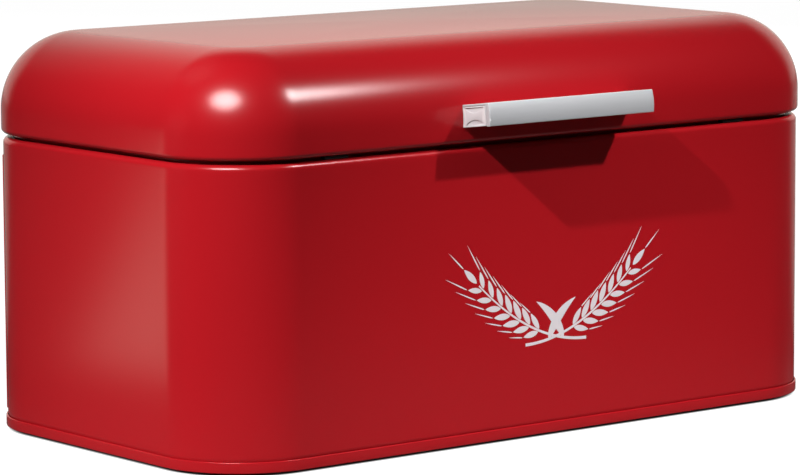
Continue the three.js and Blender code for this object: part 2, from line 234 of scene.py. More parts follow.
def vectorNode(tree, operation, inputs, output="Vector"):
    return addNode(tree, "ShaderNodeVectorMath", {"operation": operation}, inputs).outputs[output]


def surfaceGrainGroup():
    # Fine grain and a slow drift of tone: the colour, the roughness and the height that they give
    group, given, made = newGroup("surfaceGrain", [
        ("Color", "NodeSocketColor", (0.8, 0.8, 0.8, 1)),
        ("Roughness", "NodeSocketFloat", 0.5),
        ("Grain Scale", "NodeSocketFloat", 900),
        ("Drift Scale", "NodeSocketFloat", 9),
        ("Tone Spread", "NodeSocketFloat", 0.06),
        ("Roughness Spread", "NodeSocketFloat", 0.05),
        ("Stretch", "NodeSocketVector", (1, 1, 1)),
    ], [("Color", "NodeSocketColor"), ("Roughness", "NodeSocketFloat"), ("Height", "NodeSocketFloat")])
    place = addNode(group, "ShaderNodeTexCoord").outputs["Object"]
    scaled = vectorNode(group, "MULTIPLY", {0: place, 1: given["Stretch"]})
    grain, drift = [
        addNode(group, "ShaderNodeTexNoise", None, {
            "Vector": scaled, "Scale": given[scale], **noise,
        }).outputs[0]
        for scale, noise in grainNoise.items()
    ]
    centred = mathNode(group, "SUBTRACT", mathNode(group, "ADD", grain, drift), 1)
    tone = mathNode(group, "MULTIPLY", centred, given["Tone Spread"])
    brightness = mathNode(group, "ADD", tone, 1)
    tinted = vectorNode(group, "SCALE", {0: given["Color"], "Scale": brightness})
    uneven = mathNode(group, "MULTIPLY", centred, given["Roughness Spread"])
    roughness = mathNode(group, "ADD", uneven, given["Roughness"], clamp=True)
    group.links.new(tinted, made["Color"])
    group.links.new(roughness, made["Roughness"])
    group.links.new(grain, made["Height"])
    return group


def paintedEdgeHighlightGroup():
    # Painted highlight: mixes the tone towards the given highlight colour where the surface turns sharply,
    # as light caught on the edges would
    group, given, made = newGroup("paintedEdgeHighlight", [
        ("Color", "NodeSocketColor", (0.8, 0.8, 0.8, 1)),
        ("Highlight Color", "NodeSocketColor", (1, 1, 1, 1)),
        ("Amount", "NodeSocketFloat", 0.4),
    ], [("Color", "NodeSocketColor")])
    shape = addNode(group, "ShaderNodeNewGeometry")
    edges = addNode(group, "ShaderNodeMapRange", None, {"Value": shape.outputs["Pointiness"], **highlightEdgeTurn})
    amount = mathNode(group, "MULTIPLY", edges.outputs[0], given["Amount"], clamp=True)
    mix = addNode(group, "ShaderNodeMix", {"data_type": "RGBA"}, {
        "Factor": amount, "A": given["Color"], "B": given["Highlight Color"],
    })
    group.links.new(mix.outputs["Result"], made["Color"])
    return group


surfaceGrain = surfaceGrainGroup()
paintedEdgeHighlight = paintedEdgeHighlightGroup()


def newMaterial(name):
    material = bpy.data.materials.new(name)
    material.use_nodes = True
    return material, material.node_tree.nodes["Principled BSDF"]


def finishMaterial(name, look):
    material, shader = newMaterial(name)
    tree = material.node_tree
    grain = addNode(tree, "ShaderNodeGroup", {"node_tree": surfaceGrain}, {
        "Color": look["color"],
        "Roughness": look["roughness"],
        "Grain Scale": look["grainScale"],
        "Drift Scale": look["driftScale"],
        "Tone Spread": look["toneSpread"],
        "Roughness Spread": look["roughnessSpread"],
        "Stretch": look.get("stretch", (1, 1, 1)),
    })
    # a painted highlight along the sharp edges
    edges = addNode(tree, "ShaderNodeGroup", {"node_tree": paintedEdgeHighlight}, {
        "Color": grain.outputs["Color"], "Highlight Color": look["highlightColor"], "Amount": look["highlightAmount"],
    })
    bump = addNode(tree, "ShaderNodeBump", None, {
        "Height": grain.outputs["Height"], "Strength": look["bump"], "Distance": look["bumpDepth"],
    })
    tree.links.new(edges.outputs["Color"], shader.inputs["Base Color"])
    tree.links.new(grain.outputs["Roughness"], shader.inputs["Roughness"])
    tree.links.new(bump.outputs["Normal"], shader.inputs["Normal"])
    shader.inputs["Metallic"].default_value = look.get("metallic", 0)
    shader.inputs["Specular IOR Level"].default_value = look.get("specular", 0.5)
    return material


# Each finish's highlight colour and amount paint a highlight on its sharp edges
finishes = {
    "red_paint": finishMaterial("redPowderCoat", {
        "color": (0.43, 0.0075, 0.0125, 1), "highlightColor": (0.5, 0.012, 0.018, 1), "highlightAmount": 0.5,
        "roughness": 0.24, "roughnessSpread": 0.05, "toneSpread": 0.07, "specular": 0.3,
        "grainScale": 1100, "driftScale": 7, "bump": 0.12, "bumpDepth": 0.02 * mm,
    }),
    "satin_aluminium": finishMaterial("satinAluminium", {
        "color": (0.56, 0.563, 0.582, 1), "highlightColor": (0.95, 0.95, 0.95, 1), "highlightAmount": 0.9,
        "roughness": 0.55, "roughnessSpread": 0.12, "toneSpread": 0.08, "metallic": 0.2,
        "grainScale": 1500, "driftScale": 30, "stretch": (0.04, 1, 1), "bump": 0.2, "bumpDepth": 0.01 * mm,
    }),
    "grey_plastic": finishMaterial("greyPlastic", {
        "color": (0.62, 0.6, 0.61, 1), "highlightColor": (0.88, 0.85, 0.85, 1), "highlightAmount": 0.7,
        "roughness": 0.48, "roughnessSpread": 0.08, "toneSpread": 0.05,
        "grainScale": 2200, "driftScale": 60, "bump": 0.15, "bumpDepth": 0.01 * mm,
    }),
    "zinc_steel": finishMaterial("zincSteel", {
        "color": (0.52, 0.53, 0.55, 1), "highlightColor": (0.75, 0.75, 0.76, 1), "highlightAmount": 0.6,
        "roughness": 0.36, "roughnessSpread": 0.2, "toneSpread": 0.25, "metallic": 1,
        "grainScale": 700, "driftScale": 90, "bump": 0.15, "bumpDepth": 0.02 * mm,
    }),
    "black_rubber": finishMaterial("blackRubber", {
        "color": (0.014, 0.014, 0.015, 1), "highlightColor": (0.04, 0.04, 0.04, 1), "highlightAmount": 0.5,
        "roughness": 0.75, "roughnessSpread": 0.1, "toneSpread": 0.2,
        "grainScale": 2500, "driftScale": 80, "bump": 0.3, "bumpDepth": 0.02 * mm,
    }),
    "pale_print": finishMaterial("palePrint", {
        "color": (0.78, 0.71, 0.74, 1), "highlightColor": (0.84, 0.78, 0.8, 1), "highlightAmount": 0.2,
        "roughness": 0.5, "roughnessSpread": 0.08, "toneSpread": 0.05,
        "grainScale": 1800, "driftScale": 40, "bump": 0.1, "bumpDepth": 0.01 * mm,
    }),
}


def fit(piece, body, slot, node=None):
    piece.data.materials.clear()
    piece.data.materials.append(finishes[slot])
    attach(piece, body)
    if node:
        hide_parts(node)


# Body and lid shells

shell = {
    "sheet": 0.6 * mm,
    "seat": 0.15 * mm,  # between pieces that touch
    "neck": 5 * mm,
    "corner": 40 * mm, "cornerSteps": 36,  # the body's round corners, seen from above
    "support": 1.5 * mm,  # loops this far into the flat walls keep them flat
    "lidOverhang": 0.75 * mm,
}
seam = {
    "turn": 40,  # degrees round the rear left corner, from the left side
    "width": 6 * mm, "proud": 0.5 * mm, "soft": 0.45 * mm,
    "low": 6.6 * mm, "high": 117.5 * mm,
}
bodyHeight = wallHigh.z - rim - shell["neck"]  # up to the shoulder
halfWidth = (wallHigh.x - wallLow.x) / 2
halfDepth = (wallHigh.y - wallLow.y) / 2
lidFoot = lidLow.z - rim


def cornerColumns():
    # Angle and slide along the wall of each column of vertices, corner by corner
    columns = []
    for quarter in range(4):
        start, stop = 90 * quarter, 90 * (quarter + 1)
        angles = spread(start, stop, shell["cornerSteps"] + 1)
        if quarter == 1:
            centre = 180 - seam["turn"]
            half = math.degrees(seam["width"] / 2 / shell["corner"])
            soft = math.degrees(seam["soft"] / shell["corner"])
            steps = [half - soft, half - soft / 2, half, half + soft / 2, half + soft]
            angles += [centre + side * step for side in (-1, 1) for step in steps]
        turns = [(quarter, angle, 0) for angle in sorted(angles)]
        columns += [(quarter, start, -shell["support"]), *turns, (quarter, stop, shell["support"])]
    return columns


columns = cornerColumns()
cornerSides = [(1, 1), (-1, 1), (-1, -1), (1, -1)]


def outline(halfX, halfY, radius, z, shrink, bulge):
    ring = []
    for quarter, angle, slide in columns:
        sideX, sideY = cornerSides[quarter]
        turn = math.radians(angle)
        outward = Vector((math.cos(turn), math.sin(turn), 0))
        along = Vector((-math.sin(turn), math.cos(turn), 0))
        centre = Vector((sideX * (halfX - radius), sideY * (halfY - radius), 0))
        reach = radius + (bulge(quarter, angle, z) if bulge else 0)
        point = centre + reach * outward + slide * along
        ring.append(middle + shrink * point + Vector((0, 0, rim + z)))
    return ring


def carried(profile, halfX, halfY, corner, bulge=None):
    # Carries a profile round the box. Its rows are an inset and a height, and for a row that
    # closes over the middle also a share of its outline. Only the outermost face bulges.
    rings = []
    for inset, z, *share in profile:
        shrink = share[0] if share else 1
        lift = bulge if inset == 0 else None
        rings.append(outline(halfX - inset, halfY - inset, corner - inset, z, shrink, lift))
    return rings


def seamRise(quarter, angle, z):
    if quarter != 1:
        return 0
    across = abs(math.radians(angle - 180 + seam["turn"])) * shell["corner"]
    sideRise = ease((seam["width"] / 2 + seam["soft"] - across) / seam["soft"] / 2)
    endRise = ease((z - seam["low"]) / seam["soft"]) * ease((seam["high"] - z) / seam["soft"])
    return seam["proud"] * sideRise * endRise


wrap = {
    "foot": 0.75 * mm,
    "shoulder": 2.5 * mm, "ledge": 2.4 * mm,
    "crease": 0.3 * mm, "creaseLow": 4.9 * mm, "creaseHigh": 5.6 * mm,
    "neckFold": 3 * mm, "fillet": 0.5 * mm,
    "ventRadius": 2 * mm, "ventFlare": 0.35 * mm, "ventPitch": 10 * mm, "ventSides": 32,
    "ventSpacing": 110 * mm, "ventDrop": 28 * mm, "ventCount": 5,
    "ventPast": 2 * mm,  # how far the cutters go past the wall's face, both ways
    "ventRing": 0.4 * mm, "wallCorners": 12,  # a wall face with more corners than this has vents in it
}


def ventCutters():
    cutters = []
    radius, flare, past = wrap["ventRadius"], wrap["ventFlare"], wrap["ventPast"]
    profile = [(radius, -past), (radius, -flare)]
    profile += [(radius + flare * (1 - math.cos(turn)), flare * (math.sin(turn) - 1))
                for turn in spread(0, math.pi / 2, 5)[1:]]
    profile.append((radius + flare, past))
    for side in (-1, 1):
        for at in range(wrap["ventCount"]):
            x = side * wrap["ventSpacing"] / 2 + (at - (wrap["ventCount"] - 1) / 2) * wrap["ventPitch"]
            place = Vector((x, wallHigh.y, rim + bodyHeight - wrap["ventDrop"]))
            cutters.append(turned(f"vent{side}{at}", profile, (0, 1, 0), place, wrap["ventSides"]))
    return cutters


def bodyWrap():
    sheet, fillet, high = shell["sheet"], wrap["fillet"], bodyHeight
    roundStart = high - wrap["shoulder"]
    neckInset = wrap["shoulder"] + wrap["ledge"]
    neckTop = wallHigh.z - rim
    foldEnd = neckTop - wrap["neckFold"]
    ends = [seam["low"] - seam["soft"], *spread(seam["low"], seam["low"] + seam["soft"], 4)]
    ends += [*spread(seam["high"] - seam["soft"], seam["high"], 4), seam["high"] + seam["soft"]]
    crease = wrap["crease"]
    profile = [(crease, wrap["foot"]), (crease, wrap["creaseLow"]), (0, wrap["creaseHigh"])]
    profile += [*[(0, z) for z in ends], (0, roundStart - shell["support"])]
    profile += arc(wrap["shoulder"], roundStart, wrap["shoulder"], 180, 90, 12)
    profile += arc(neckInset - fillet, high + fillet, fillet, 270, 360, 5)
    profile += arc(neckInset + sheet, neckTop - sheet, sheet, 180, 0, 10)
    profile += arc(neckInset + 1.5 * sheet, foldEnd + sheet / 2, sheet / 2, 0, -90, 4)
    profile.append((neckInset + sheet, foldEnd))
    profile += arc(neckInset - fillet, high + fillet, fillet + sheet, 360, 270, 6)
    profile += arc(wrap["shoulder"], roundStart, wrap["shoulder"] - sheet, 90, 180, 10)
    profile += [(sheet, roundStart - shell["support"]), (sheet, wrap["foot"])]
    rings = carried(profile, halfWidth, halfDepth, shell["corner"], seamRise)
    piece = loft("body_wrap", rings, closedProfile=True)
    cutAway(piece, ventCutters())
    ringCuts(piece, wrap["ventRing"], wrap["wallCorners"])
    fit(piece, "box", "red_paint", "body_shell")


pan = {
    "bandHeight": 4.6 * mm, "bandRound": 0.28 * mm, "rimRound": 0.45 * mm,
    "recess": 4.4 * mm, "panelRound": 0.8 * mm,
    "step": 1 * mm, "stepInset": 12 * mm, "stepRun": 2 * mm,
}


def basePan():
    sheet, seat = shell["sheet"], shell["seat"]
    under, over = pan["recess"], pan["recess"] + sheet
    inner = 2 * sheet + 2 * seat  # inner face of the upstand behind the wall
    outer = -(seat + sheet)
    soft, edge, turn = pan["bandRound"], pan["rimRound"], pan["panelRound"]
    rise = [(pan["stepInset"] + pan["stepRun"] * t, pan["step"] * ease(t)) for t in spread(0, 1, 8)]
    profile = [(inset, under + lift) for inset, lift in reversed(rise)]
    profile += arc(inner + turn, under - turn, turn, 90, 180, 5)
    profile += arc(inner - edge, edge, edge, 360, 270, 5)
    profile += arc(outer + edge, edge, edge, 270, 180, 5)
    profile += arc(outer + soft, pan["bandHeight"] - soft, soft, 180, 90, 5)
    profile += [(-seat, pan["bandHeight"]), (-seat, sheet), (sheet + seat, sheet)]
    profile += arc(inner + turn, over - turn + sheet / 2, turn + sheet / 2, 180, 90, 5)[1:]
    profile += [(inset, over + lift) for inset, lift in rise]
    piece = loft("base_pan_pressing", carried(profile, halfWidth, halfDepth, shell["corner"]))
    fit(piece, "box", "red_paint", "base_pan")


lid = {
    "skirt": 9.9 * mm, "dome": 33.5 * mm, "domeSteps": 40,
    "hem": 2.2 * mm, "crown": 0.6 * mm, "crownRings": 12,
}


def lidPressing():
    sheet, overhang = shell["sheet"], shell["lidOverhang"]
    hem, dome = lid["hem"], lid["dome"]
    domeStart = lidFoot + lid["skirt"]
    top = domeStart + dome

    def crownRows(z):
        shares = spread(1, 0, lid["crownRings"] + 1)[1:-1]
        return [(dome, z + lid["crown"] * (1 + math.cos(math.pi * share)) / 2, share) for share in shares]

    profile = crownRows(top - sheet)[::-1]
    profile += arc(dome, domeStart, dome - sheet, 90, 180, lid["domeSteps"])
    profile += arc(hem, lidFoot + hem, hem - sheet, 180, 270, 8)
    profile += arc(hem + sheet / 2, lidFoot + sheet / 2, sheet / 2, 90, -90, 6)
    profile += arc(hem, lidFoot + hem, hem, 270, 180, 10)
    profile += arc(dome, domeStart, dome, 180, 90, lid["domeSteps"])
    profile += crownRows(top)
    rings = carried(profile, halfWidth + overhang, halfDepth + overhang, shell["corner"] + overhang)
    fit(loft("lid_pressing", rings), "lid", "red_paint", "lid_shell")


bodyWrap()
basePan()
lidPressing()
print("shells made")


# Handle

handle = {
    "tilt": 7,  # degrees that it points up
    "rise": 11.5 * mm,  # of its root above the lid's hem
    "reach": 17.51 * mm, "height": 9.7 * mm, "faceSteps": 24,
}
bar = {
    "thickness": 2.6 * mm, "side": 1.95 * mm, "flange": 0.8 * mm, "frontSteps": 18,
    "edge": 0.25 * mm, "edgeSteps": 3, "support": 1.2 * mm,
}
post = {
    "lip": 0.3 * mm, "edge": 0.6 * mm, "hollowSpan": 12.5 * mm, "hollowRise": 2.2 * mm,
    "hollowDepth": 0.5 * mm, "hollowRim": 0.55 * mm, "round": 0.12 * mm, "intoLid": 2 * mm,
}
handleRoot = Vector((middle.x, lidLow.y, rim + lidFoot + handle["rise"]))
barBack = bar["thickness"] - handle["reach"]


def tilted(section):
    # Drawn square to a flat wall from the middle of the root, then turned up
    turn = math.radians(handle["tilt"])
    return [(y * math.cos(turn) + z * math.sin(turn), z * math.cos(turn) - y * math.sin(turn))
            for y, z in section]


def lidFace(length, place):
    # What the lid's front face takes from a piece that stands on it
    face = []
    for z in spread(-handle["height"], handle["height"], handle["faceSteps"]):
        rise = max(handle["rise"] + z - lid["skirt"], 0)
        face.append((lid["dome"] - math.sqrt(lid["dome"] ** 2 - rise ** 2) - shell["seat"], z))
    inside = [(lid["dome"], handle["height"]), (lid["dome"], -handle["height"])]
    return drawnOut("lid_face", face + inside, 2 * length, place)


def handleBar():
    low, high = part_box("handle_bar")
    length, half, bulge = high.x - low.x, handle["height"] / 2, bar["thickness"] - bar["side"]
    radius = (half * half + bulge * bulge) / (2 * bulge)
    span = math.degrees(math.asin(half / radius))
    front = arc(radius - handle["reach"], 0, radius, 180 - span, 180 + span, bar["frontSteps"])
    root, under = post["intoLid"], half - bar["flange"]
    section = [*front, (barBack, -half), (barBack, under), (root, under), (root, half)]
    piece = drawnOut("handle_strip", tilted(section), length, handleRoot, bar["support"])
    cutAway(piece, [lidFace(length, handleRoot)])
    softenEdges(piece, bar["edge"], bar["edgeSteps"])
    fit(piece, "lid", "satin_aluminium", "handle_bar")


def handlePost(sideName, side):
    node = f"handle_post_{sideName}"
    low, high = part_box(node)
    length = high.x - low.x
    place = Vector(((low.x + high.x) / 2, handleRoot.y, handleRoot.z))
    front, edge = barBack + shell["seat"], post["edge"]
    bottom = post["lip"] - handle["height"] / 2
    top = handle["height"] / 2 - bar["flange"] - shell["seat"]
    section = [(post["intoLid"], bottom), (post["intoLid"], top)]
    section += arc(front + edge, top - edge, edge, 90, 180, 6)
    section += arc(front + edge, bottom + edge, edge, 180, 270, 6)
    piece = drawnOut(f"handle_end_{sideName}", tilted(section), length, place)
    radius = ((post["hollowSpan"] / 2) ** 2 + post["hollowRise"] ** 2) / (2 * post["hollowRise"])
    span = math.degrees(math.asin(post["hollowSpan"] / 2 / radius))
    endFace = Vector((high.x if side > 0 else low.x, place.y, place.z))
    cutters = [lidFace(length, place)]
    for chord, end, facing in ((top - post["hollowRim"], 1, 270), (bottom + post["hollowRim"], -1, 90)):
        centre = chord + end * (radius - post["hollowRise"])
        lens = tilted(arc(barBack / 2, centre, radius, facing - span, facing + span, 20))
        cutters.append(drawnOut("hollow", lens, 2 * post["hollowDepth"], endFace))
    cutAway(piece, cutters)
    softenEdges(piece, post["round"])
    fit(piece, "lid", "grey_plastic", node)


screw = {
    "shank": 1.8 * mm, "head": 3.5 * mm, "headHeight": 2.3 * mm, "headRound": 1.2 * mm,
    "tip": 0.3, "crown": 0.4,  # flat shares of shank and head
    "crossSpan": 4 * mm, "crossWidth": 0.9 * mm, "crossDepth": 1.3 * mm, "edge": 0.08 * mm, "sides": 64,
}
washer = {"bore": 2 * mm, "edge": 0.12 * mm, "sides": 64}


def handleFixing(sideName):
    # A washer and a cross-recessed screw from inside the lid
    low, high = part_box(f"handle_washer_{sideName}")
    place = Vector(((low.x + high.x) / 2, low.y, (low.z + high.z) / 2))
    radius, thick, bore, edge = (high.x - low.x) / 2, high.y - low.y, washer["bore"], washer["edge"]
    profile = [(bore, edge), (bore + edge, 0), (radius - edge, 0), (radius, edge)]
    profile += [(radius, thick - edge), (radius - edge, thick), (bore + edge, thick), (bore, thick - edge)]
    piece = turned(f"washer_{sideName}", profile, (0, 1, 0), place, washer["sides"], hollow=True)
    fit(piece, "lid", "zinc_steel", f"handle_washer_{sideName}")
    low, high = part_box(f"handle_screw_{sideName}")
    tip, top = low.y - place.y, high.y - place.y
    shank, head, turn, edge = screw["shank"], screw["head"], screw["headRound"], screw["edge"]
    under = top - screw["headHeight"]
    profile = [(screw["tip"] * shank, tip), (shank, tip + shank), (shank, under)]
    profile += [(head - edge, under), (head, under + edge)]
    profile += arc(head - turn, top - turn, turn, 0, 90, 8)
    profile.append((screw["crown"] * head, top))
    piece = turned(f"screw_{sideName}", profile, (0, 1, 0), place, screw["sides"])
    span, width, depth = screw["crossSpan"], screw["crossWidth"], screw["crossDepth"]
    cutters = []
    for spanX, spanZ in ((span, width), (width, span)):
        section = [(-depth, -spanZ / 2), (depth, -spanZ / 2), (depth, spanZ / 2), (-depth, spanZ / 2)]
        cutters.append(drawnOut("cross", section, spanX, Vector((place.x, high.y, place.z))))
    cutAway(piece, cutters)
    fit(piece, "lid", "zinc_steel", f"handle_screw_{sideName}")


handleBar()
for sideName, side in (("left", -1), ("right", 1)):
    handlePost(sideName, side)
for sideName in ("left", "right"):
    handleFixing(sideName)
print("handle made")


# Hinges

joint = frame["joints"][0]
pinAxis = Vector(joint["pos_m"])
hinge = {
    "sheet": 0.8 * mm, "knuckle": 2.4 * mm, "clear": 0.3 * mm, "outerKnuckle": 10 * mm,
    "cornerRound": 2.2 * mm, "edge": 0.14 * mm, "curlSteps": 30, "bendPower": 1.5,
    "bodyCurlEnd": -115, "lidCurlStart": 150, "lidCurlEnd": 440,  # degrees round the pin
    "stopReach": 3.9 * mm, "stopThickness": 1.1 * mm, "stopEdge": 0.2 * mm, "stopEdgeSteps": 3,
    "pin": 1.2 * mm, "pinHead": 2.1 * mm, "pinHeadHeight": 0.9 * mm,
    "pinHeadSide": 0.35,  # straight share of the head's height
    "pinHeadShort": 0.1,  # radians left flat at the head's middle
}


def sheetLeaf(name, path, plateRows, knuckles, length, place):
    # A leaf bent from sheet: a grid along its path, with only the knuckles carried on past the plate
    cuts = sorted({-length / 2, length / 2, *[x for span in knuckles for x in span]})
    turn = hinge["cornerRound"]
    points, faces, reach = [], [], 0
    for row, (y, z) in enumerate(path):
        if row:
            reach += math.dist(path[row - 1], path[row])
        inside = max(turn - reach, 0)
        half = length / 2 - turn + math.sqrt(turn ** 2 - inside ** 2)
        points += [place + Vector((x * half / (length / 2), y, z)) for x in cuts]
    for row in range(len(path) - 1):
        for at in range(len(cuts) - 1):
            carriedOn = any(start <= cuts[at] and cuts[at + 1] <= stop for start, stop in knuckles)
            if row < plateRows or carriedOn:
                first = row * len(cuts) + at
                faces.append((first, first + 1, first + 1 + len(cuts), first + len(cuts)))
    used = sorted({corner for face in faces for corner in face})
    renumbered = {old: new for new, old in enumerate(used)}
    faces = [[renumbered[corner] for corner in face] for face in faces]
    piece = meshPiece(name, [points[old] for old in used], faces)
    solidify = piece.modifiers.new("sheet", "SOLIDIFY")
    solidify.thickness = hinge["sheet"]
    solidify.offset = 0
    solidify.use_even_offset = True
    applyModifiers(piece)
    softenEdges(piece, hinge["edge"])
    return piece


def plateRun(start, stop, y):
    # A plate from its free end, with its heights close together round its corners
    steps = [hinge["cornerRound"] * (1 - math.cos(turn)) for turn in spread(0, math.pi / 2, 7)]
    sign = 1 if stop > start else -1
    return [(y, start + sign * step) for step in steps] + [(y, stop)]


def bodyLeaf(sideName, place, length, inner):
    # Its two knuckles stand outside the lid leaf's single one
    mid = hinge["knuckle"] - hinge["sheet"] / 2
    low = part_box(f"hinge_leaf_body_{sideName}")[0]
    plate = plateRun(low.z - place.z, -hinge["knuckle"] - hinge["clear"], -mid)
    curl = arc(0, 0, mid, 180, hinge["bodyCurlEnd"], hinge["curlSteps"])
    spans = [(-length / 2, -inner), (inner, length / 2)]
    piece = sheetLeaf(f"body_leaf_{sideName}", plate + curl, len(plate) - 1, spans, length, place)
    fit(piece, "box", "zinc_steel", f"hinge_leaf_body_{sideName}")


def lidLeaf(sideName, place, length, half):
    # With a tab under its knuckle that comes to rest on the body leaf when the lid is open
    sheet, outer = hinge["sheet"], hinge["knuckle"]
    mid, clear = outer - sheet / 2, outer + hinge["clear"]
    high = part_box(f"hinge_leaf_lid_{sideName}")[1]
    plateY = lidHigh.y + shell["seat"] + sheet / 2 - place.y
    plate = plateRun(high.z - place.z, clear, plateY)
    curl = arc(0, 0, mid, hinge["lidCurlStart"], hinge["lidCurlEnd"], hinge["curlSteps"])
    curlY, curlZ = curl[0]
    bend = [(plateY + (curlY - plateY) * ease(t) ** hinge["bendPower"], clear + (curlZ - clear) * t)
            for t in spread(0, 1, 6)[1:-1]]
    path = plate + bend + curl
    piece = sheetLeaf(f"lid_leaf_{sideName}", path, len(plate) - 1, [(-half, half)], length, place)
    turn = Matrix.Rotation(math.radians(joint["range_deg"][1]), 3, "X")
    back, reach = sheet - outer + shell["seat"], hinge["stopReach"]
    front = back + hinge["stopThickness"]
    corners = [(back, 0), (front, 0), (front, -reach), (back, -reach)]
    section = [tuple(turn @ Vector((0, y, z)))[1:] for y, z in corners]
    stop = drawnOut("stop", section, 2 * half, place)
    softenEdges(stop, hinge["stopEdge"], hinge["stopEdgeSteps"])
    takeIn(piece, stop)
    fit(piece, "lid", "zinc_steel", f"hinge_leaf_lid_{sideName}")


def hingePin(sideName, place):
    low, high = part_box(f"hinge_pin_{sideName}")
    head, height, side = hinge["pinHead"], hinge["pinHeadHeight"], hinge["pinHeadSide"]
    base = (high.x - low.x) / 2 - height
    right = [(hinge["pin"], base), (head, base)]
    right += domeProfile(head, (1 - side) * height, base + side * height, hinge["pinHeadShort"], 8)
    profile = [(radius, -reach) for radius, reach in reversed(right)] + right
    pin = turned(f"pin_{sideName}", profile, (1, 0, 0), place)
    fit(pin, "box", "zinc_steel", f"hinge_pin_{sideName}")


for sideName in ("left", "right"):
    low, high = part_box(f"hinge_leaf_body_{sideName}")
    place = Vector(((low.x + high.x) / 2, pinAxis.y, pinAxis.z))
    length = high.x - low.x
    inner = length / 2 - hinge["outerKnuckle"]
    bodyLeaf(sideName, place, length, inner)
    lidLeaf(sideName, place, length, inner - hinge["clear"])
    hingePin(sideName, place)


# Rivets, feet and buffers

rivet = {
    "shank": 1.3 * mm, "head": 2.2 * mm, "innerHead": 0.5 * mm, "outerHead": 1 * mm, "edge": 0.12 * mm,
    "headShort": 0.08,  # radians left flat at the outer head's middle
    "sides": 40,
}


def rivetPiece(name, body, node):
    low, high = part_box(node)
    place = Vector(((low.x + high.x) / 2, low.y, (low.z + high.z) / 2))
    shank, head, inner, edge = rivet["shank"], rivet["head"], rivet["innerHead"], rivet["edge"]
    base = high.y - low.y - rivet["outerHead"]
    profile = [(head - 2 * edge, 0), (head, 2 * edge), (head, inner), (shank, inner)]
    profile += [(shank, base), (head - edge, base), (head, base + edge)]
    profile += domeProfile(head, rivet["outerHead"] - edge, base + edge, rivet["headShort"], 10)[1:]
    fit(turned(name, profile, (0, 1, 0), place, rivet["sides"]), body, "zinc_steel", node)


for at in range(4):
    rivetPiece(f"body_rivet_{at + 1}", "box", f"rivet_body_{at + 1}")
    rivetPiece(f"lid_rivet_{at + 1}", "lid", f"rivet_lid_{at + 1}")

foot = {
    "edge": 0.8 * mm, "topEdge": 0.3 * mm, "dish": 0.25 * mm, "dishRadius": 4.2 * mm,
    "dishFlat": 0.2,  # share of its radius
}


def footPiece(name, node):
    low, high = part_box(node)
    place = Vector(((low.x + high.x) / 2, (low.y + high.y) / 2, low.z))
    radius, height, edge = (high.x - low.x) / 2, high.z - low.z, foot["edge"]
    dish, depth = foot["dishRadius"], foot["dish"]
    profile = [(foot["dishFlat"] * dish, depth), (dish - depth, depth), (dish, 0)]
    profile += arc(radius - edge, edge, edge, 270, 360, 6)
    profile += [(radius, height - foot["topEdge"]), (radius - foot["topEdge"], height)]
    fit(turned(name, profile, (0, 0, 1), place), "box", "black_rubber", node)


for endName in ("front", "rear"):
    for sideName in ("left", "right"):
        footPiece(f"rubber_foot_{endName}_{sideName}", f"foot_{endName}_{sideName}")

buffer = {"wall": 0.8 * mm, "gap": 0.3 * mm, "edge": 0.2 * mm, "edgeSteps": 3}


def bufferPiece(name, node):
    # A soft clip over the neck, with the lip that the closed lid's hem comes down on
    low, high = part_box(node)
    seat, wall = shell["seat"], buffer["wall"]
    front = wallLow.y
    neckInset = wrap["shoulder"] + wrap["ledge"]
    outerLeg = front + neckInset - seat
    innerLeg = front + neckInset + 2 * shell["sheet"] + seat
    lip = front + lid["hem"] - shell["lidOverhang"]
    base = rim + bodyHeight + seat
    under = wallHigh.z + seat
    legEnd = wallHigh.z - wrap["neckFold"]
    top = rim + lidFoot - buffer["gap"]
    section = [
        (lip, base), (outerLeg, base), (outerLeg, under), (innerLeg, under), (innerLeg, legEnd),
        (innerLeg + wall, legEnd), (innerLeg + wall, under + wall), (outerLeg - wall, under + wall),
        (outerLeg - wall, top), (lip, top),
    ]
    piece = drawnOut(name, section, high.x - low.x, Vector(((low.x + high.x) / 2, 0, 0)))
    softenEdges(piece, buffer["edge"], buffer["edgeSteps"])
    fit(piece, "box", "black_rubber", node)


for sideName in ("left", "right"):
    bufferPiece(f"hem_buffer_{sideName}", f"lid_buffer_{sideName}")
print("hinges, rivets, feet and buffers made")


# Ornament on the front: two crossed ears of wheat, printed

ears = {
    "middle": (6 * mm, 47 * mm), "tip": (47 * mm, 24 * mm), "tail": (-17 * mm, -8 * mm), "sag": 8 * mm,
    "stem": 1.1 * mm, "stemWide": 1.2, "stemThin": 0.7, "stemSteps": 30,
    "stemEnd": 0.93, "endGrain": 0.95, "earStart": 0.42, "earEnd": 0.9,  # shares of the way to the tip
    "grainPairs": 7, "grainLength": 9.2 * mm, "grainWidth": 2.9 * mm, "grainGap": 0.7 * mm,
    "grainLean": 34, "grainSplay": 60, "grainBelly": 0.45, "grainShrink": 0.3, "grainFullest": 0.35,
    "awnLength": 11 * mm, "awnWidth": 0.55 * mm, "awnLean": 17, "awnGap": 0.5 * mm, "awnBelly": 0.3,
    "awnShort": 0.7, "awnGrowth": 0.5,
    "leafLength": 23 * mm, "leafWidth": 4.2 * mm, "leafStart": 0.2, "leafTurn": 58, "leafBend": -40,
    "leafBelly": 0.4,
    "swell": 0.8, "blunt": 0.02, "steps": 14,  # of each pointed strip
    "proud": 0.05 * mm, "layer": 0.008 * mm, "sunk": 0.04 * mm,
}


def stemPoint(share):
    # From the tail below the crossing, through it, and out to the ear's tip in one bow
    point = Vector(ears["tail"]).lerp(Vector(ears["tip"]), share)
    point.y -= ears["sag"] * 4 * share * (1 - share)
    return point


def stemTurn(share, step=0.01):
    run = stemPoint(share + step) - stemPoint(share - step)
    return math.atan2(run.y, run.x)


def heading(turn):
    return Vector((math.cos(turn), math.sin(turn)))


